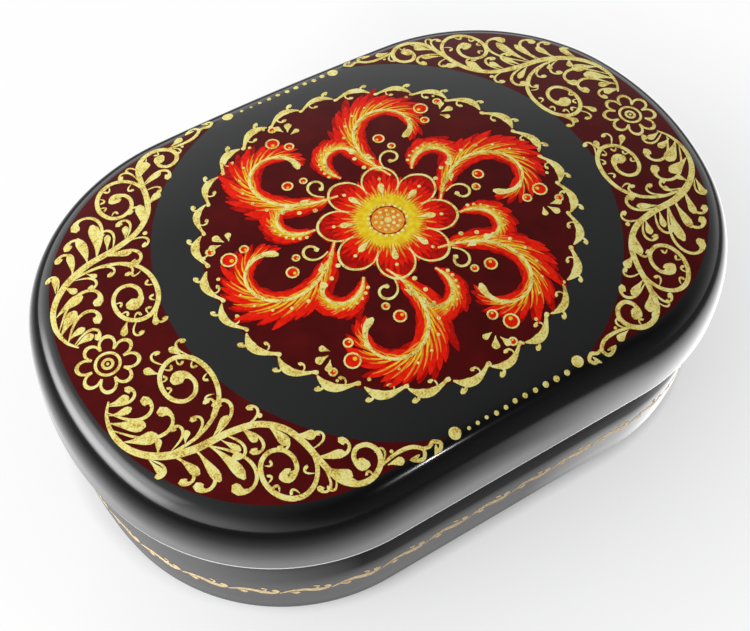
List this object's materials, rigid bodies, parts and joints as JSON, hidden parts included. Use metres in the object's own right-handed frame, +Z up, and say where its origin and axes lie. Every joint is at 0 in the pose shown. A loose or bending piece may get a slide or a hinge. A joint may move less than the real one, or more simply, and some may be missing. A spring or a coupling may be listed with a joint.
{
  "type": "lacquer box",
  "caption": "Small oblong lacquered papier-mache trinket box with rounded ends, a gently crowned lid on a concealed rear hinge, and painted folk ornament.",
  "frame": {"origin": "middle of the flat underside, on the surface that the box stands on", "axes": "+X along the box's length, +Y towards the hinge side at the rear, +Z up"},
  "size_m": [0.1, 0.068, 0.032],
  "materials": {
    "black_lacquer": "polished black lacquer over papier-mache",
    "red_lacquer": "polished red lacquer inside the box",
    "maroon_paint": "maroon paint under clear lacquer",
    "gold_paint": "painted gold ornament under clear lacquer",
    "bright_paint": "red, orange and yellow paint under clear lacquer",
    "brass": "satin rolled brass, slightly toned"
  },
  "bodies": {
    "box": {"base_board": "black_lacquer", "body_wall": "black_lacquer", "hinge_body_leaf": "brass", "hinge_rod": "brass", "body_leaf_nail_1": "brass", "body_leaf_nail_2": "brass", "body_leaf_nail_3": "brass"},
    "lid": {"lid_wall": "black_lacquer", "lid_board": "black_lacquer", "hinge_lid_leaf": "brass", "lid_leaf_nail_1": "brass", "lid_leaf_nail_2": "brass", "lid_leaf_nail_3": "brass"}
  },
  "joints": [
    {"name": "lid_hinge", "type": "hinge", "parent": "box", "child": "lid", "pos_m": [0, 0.03275, 0.0178], "axis": [-1, 0, 0], "range_deg": [0, 100]}
  ]
}
